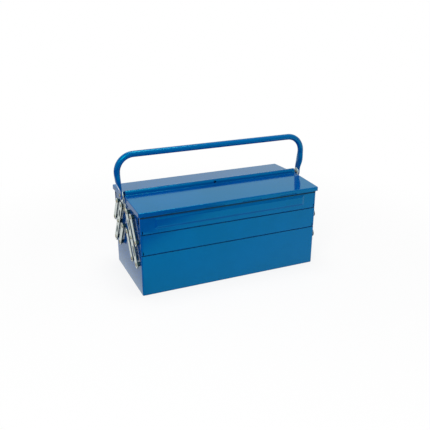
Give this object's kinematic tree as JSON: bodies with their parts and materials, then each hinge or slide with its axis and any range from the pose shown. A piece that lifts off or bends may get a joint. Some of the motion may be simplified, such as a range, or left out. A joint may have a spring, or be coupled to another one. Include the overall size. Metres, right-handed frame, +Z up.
{
  "type": "cantilever toolbox",
  "caption": "Folded sheet steel cantilever toolbox with trays on riveted parallel arms, hinged lids with a lockable ridge, and a tubular carrying handle.",
  "frame": {"origin": "middle of the base pan's underside", "axes": "+X along the box's length, +Y from the front to the rear, +Z up; the lid with the ridge is at the front"},
  "size_m": [0.476, 0.207, 0.2993],
  "materials": {
    "blue_paint": "glossy blue stoved enamel on sheet steel",
    "handle_paint": "glossy blue enamel on steel tube",
    "zinc": "bright zinc plating with a faint green-grey cast",
    "rivet": "yellow passivated zinc on rivet heads"
  },
  "bodies": {
    "base": {"base_pan": "blue_paint", "front_left_base_inner_rivet": "rivet", "front_left_base_long_rivet": "rivet", "front_right_base_inner_rivet": "rivet", "front_right_base_long_rivet": "rivet", "rear_left_base_inner_rivet": "rivet", "rear_left_base_long_rivet": "rivet", "rear_right_base_inner_rivet": "rivet", "rear_right_base_long_rivet": "rivet"},
    "front_long_arms": {"front_left_long_arm": "zinc", "front_right_long_arm": "zinc"},
    "front_inner_arms": {"front_left_inner_arm": "zinc", "front_right_inner_arm": "zinc"},
    "front_outer_arms": {"front_left_outer_arm": "zinc", "front_right_outer_arm": "zinc"},
    "front_mid_tray_body": {"front_mid_tray": "blue_paint", "front_left_mid_long_rivet": "rivet", "front_left_mid_inner_rivet": "rivet", "front_left_mid_outer_rivet": "rivet", "front_right_mid_long_rivet": "rivet", "front_right_mid_inner_rivet": "rivet", "front_right_mid_outer_rivet": "rivet"},
    "front_top_tray_body": {"front_top_tray": "blue_paint", "front_hinge_leaf": "blue_paint", "front_hinge_pin": "zinc", "front_left_top_long_rivet": "rivet", "front_left_top_outer_rivet": "rivet", "front_right_top_long_rivet": "rivet", "front_right_top_outer_rivet": "rivet"},
    "front_lid_body": {"front_lid": "blue_paint"},
    "rear_long_arms": {"rear_left_long_arm": "zinc", "rear_right_long_arm": "zinc"},
    "rear_inner_arms": {"rear_left_inner_arm": "zinc", "rear_right_inner_arm": "zinc"},
    "rear_outer_arms": {"rear_left_outer_arm": "zinc", "rear_right_outer_arm": "zinc"},
    "rear_mid_tray_body": {"rear_mid_tray": "blue_paint", "rear_left_mid_long_rivet": "rivet", "rear_left_mid_inner_rivet": "rivet", "rear_left_mid_outer_rivet": "rivet", "rear_right_mid_long_rivet": "rivet", "rear_right_mid_inner_rivet": "rivet", "rear_right_mid_outer_rivet": "rivet"},
    "rear_top_tray_body": {"rear_top_tray": "blue_paint", "rear_hinge_leaf": "blue_paint", "rear_hinge_pin": "zinc", "rear_left_top_long_rivet": "rivet", "rear_left_top_outer_rivet": "rivet", "rear_right_top_long_rivet": "rivet", "rear_right_top_outer_rivet": "rivet", "left_handle_bracket": "zinc", "left_handle_rivet": "rivet", "left_bracket_rivet": "rivet", "right_handle_bracket": "zinc", "right_handle_rivet": "rivet", "right_bracket_rivet": "rivet"},
    "rear_lid_body": {"rear_lid": "blue_paint"},
    "handle_body": {"handle": "handle_paint"}
  },
  "joints": [
    {"name": "front_open", "type": "hinge", "parent": "base", "child": "front_long_arms", "pos_m": [0, -0.083, 0.071], "axis": [1, 0, 0], "range_deg": [0, 62.2]},
    {"name": "front_inner_arm_turn", "type": "hinge", "parent": "base", "child": "front_inner_arms", "pos_m": [0, -0.049, 0.071], "axis": [1, 0, 0], "range_deg": [0, 62.2]},
    {"name": "front_mid_tray_turn", "type": "hinge", "parent": "front_long_arms", "child": "front_mid_tray_body", "pos_m": [0, -0.052, 0.1223], "axis": [1, 0, 0], "range_deg": [-62.2, 0]},
    {"name": "front_outer_arm_turn", "type": "hinge", "parent": "front_mid_tray_body", "child": "front_outer_arms", "pos_m": [0, -0.084, 0.1223], "axis": [1, 0, 0], "range_deg": [0, 62.2]},
    {"name": "front_top_tray_turn", "type": "hinge", "parent": "front_long_arms", "child": "front_top_tray_body", "pos_m": [0, -0.02281, 0.1706], "axis": [1, 0, 0], "range_deg": [-62.2, 0]},
    {"name": "front_lid_hinge", "type": "hinge", "parent": "front_top_tray_body", "child": "front_lid_body", "pos_m": [0, -0.1019, 0.1862], "axis": [1, 0, 0], "range_deg": [0, 110]},
    {"name": "rear_open", "type": "hinge", "parent": "base", "child": "rear_long_arms", "pos_m": [0, 0.083, 0.071], "axis": [-1, 0, 0], "range_deg": [0, 62.2]},
    {"name": "rear_inner_arm_turn", "type": "hinge", "parent": "base", "child": "rear_inner_arms", "pos_m": [0, 0.049, 0.071], "axis": [-1, 0, 0], "range_deg": [0, 62.2]},
    {"name": "rear_mid_tray_turn", "type": "hinge", "parent": "rear_long_arms", "child": "rear_mid_tray_body", "pos_m": [0, 0.052, 0.1223], "axis": [-1, 0, 0], "range_deg": [-62.2, 0]},
    {"name": "rear_outer_arm_turn", "type": "hinge", "parent": "rear_mid_tray_body", "child": "rear_outer_arms", "pos_m": [0, 0.084, 0.1223], "axis": [-1, 0, 0], "range_deg": [0, 62.2]},
    {"name": "rear_top_tray_turn", "type": "hinge", "parent": "rear_long_arms", "child": "rear_top_tray_body", "pos_m": [0, 0.02281, 0.1706], "axis": [-1, 0, 0], "range_deg": [-62.2, 0]},
    {"name": "rear_lid_hinge", "type": "hinge", "parent": "rear_top_tray_body", "child": "rear_lid_body", "pos_m": [0, 0.1019, 0.1862], "axis": [-1, 0, 0], "range_deg": [0, 110]},
    {"name": "handle_fold", "type": "hinge", "parent": "rear_top_tray_body", "child": "handle_body", "pos_m": [0, 0.004, 0.2014], "axis": [1, 0, 0], "range_deg": [-88, 88]}
  ],
  "couplings": [
    {"joint": "front_inner_arm_turn", "follows": "front_open", "ratio": 1},
    {"joint": "front_mid_tray_turn", "follows": "front_open", "ratio": -1},
    {"joint": "front_outer_arm_turn", "follows": "front_open", "ratio": 1},
    {"joint": "front_top_tray_turn", "follows": "front_open", "ratio": -1},
    {"joint": "rear_inner_arm_turn", "follows": "rear_open", "ratio": 1},
    {"joint": "rear_mid_tray_turn", "follows": "rear_open", "ratio": -1},
    {"joint": "rear_outer_arm_turn", "follows": "rear_open", "ratio": 1},
    {"joint": "rear_top_tray_turn", "follows": "rear_open", "ratio": -1}
  ]
}
